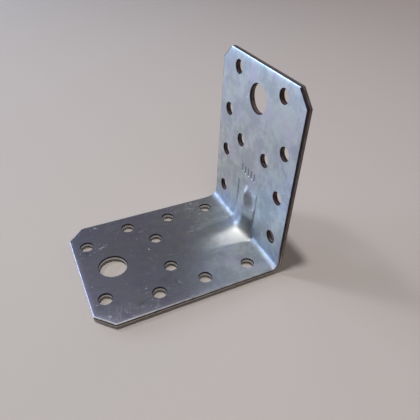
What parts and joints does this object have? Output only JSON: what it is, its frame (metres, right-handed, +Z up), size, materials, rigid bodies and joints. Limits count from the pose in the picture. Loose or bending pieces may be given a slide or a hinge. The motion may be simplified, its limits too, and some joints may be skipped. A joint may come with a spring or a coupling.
{
  "type": "corner brace bracket",
  "caption": "Right-angle nailing bracket folded from one zinc-plated steel sheet, with punched nail and bolt holes and a rib pressed through the fold.",
  "frame": {"origin": "the heel: where the planes of the two outer faces meet, at the middle of the width", "axes": "+X along the base leg to its free end, +Z up the upright leg to its free end, Y across the width"},
  "size_m": [0.088, 0.065, 0.09],
  "materials": {
    "zinc_plated_steel": "zinc-plated sheet steel, satin, lightly scuffed"
  },
  "bodies": {
    "root": {"angle_bracket": "zinc_plated_steel"}
  },
  "joints": []
}
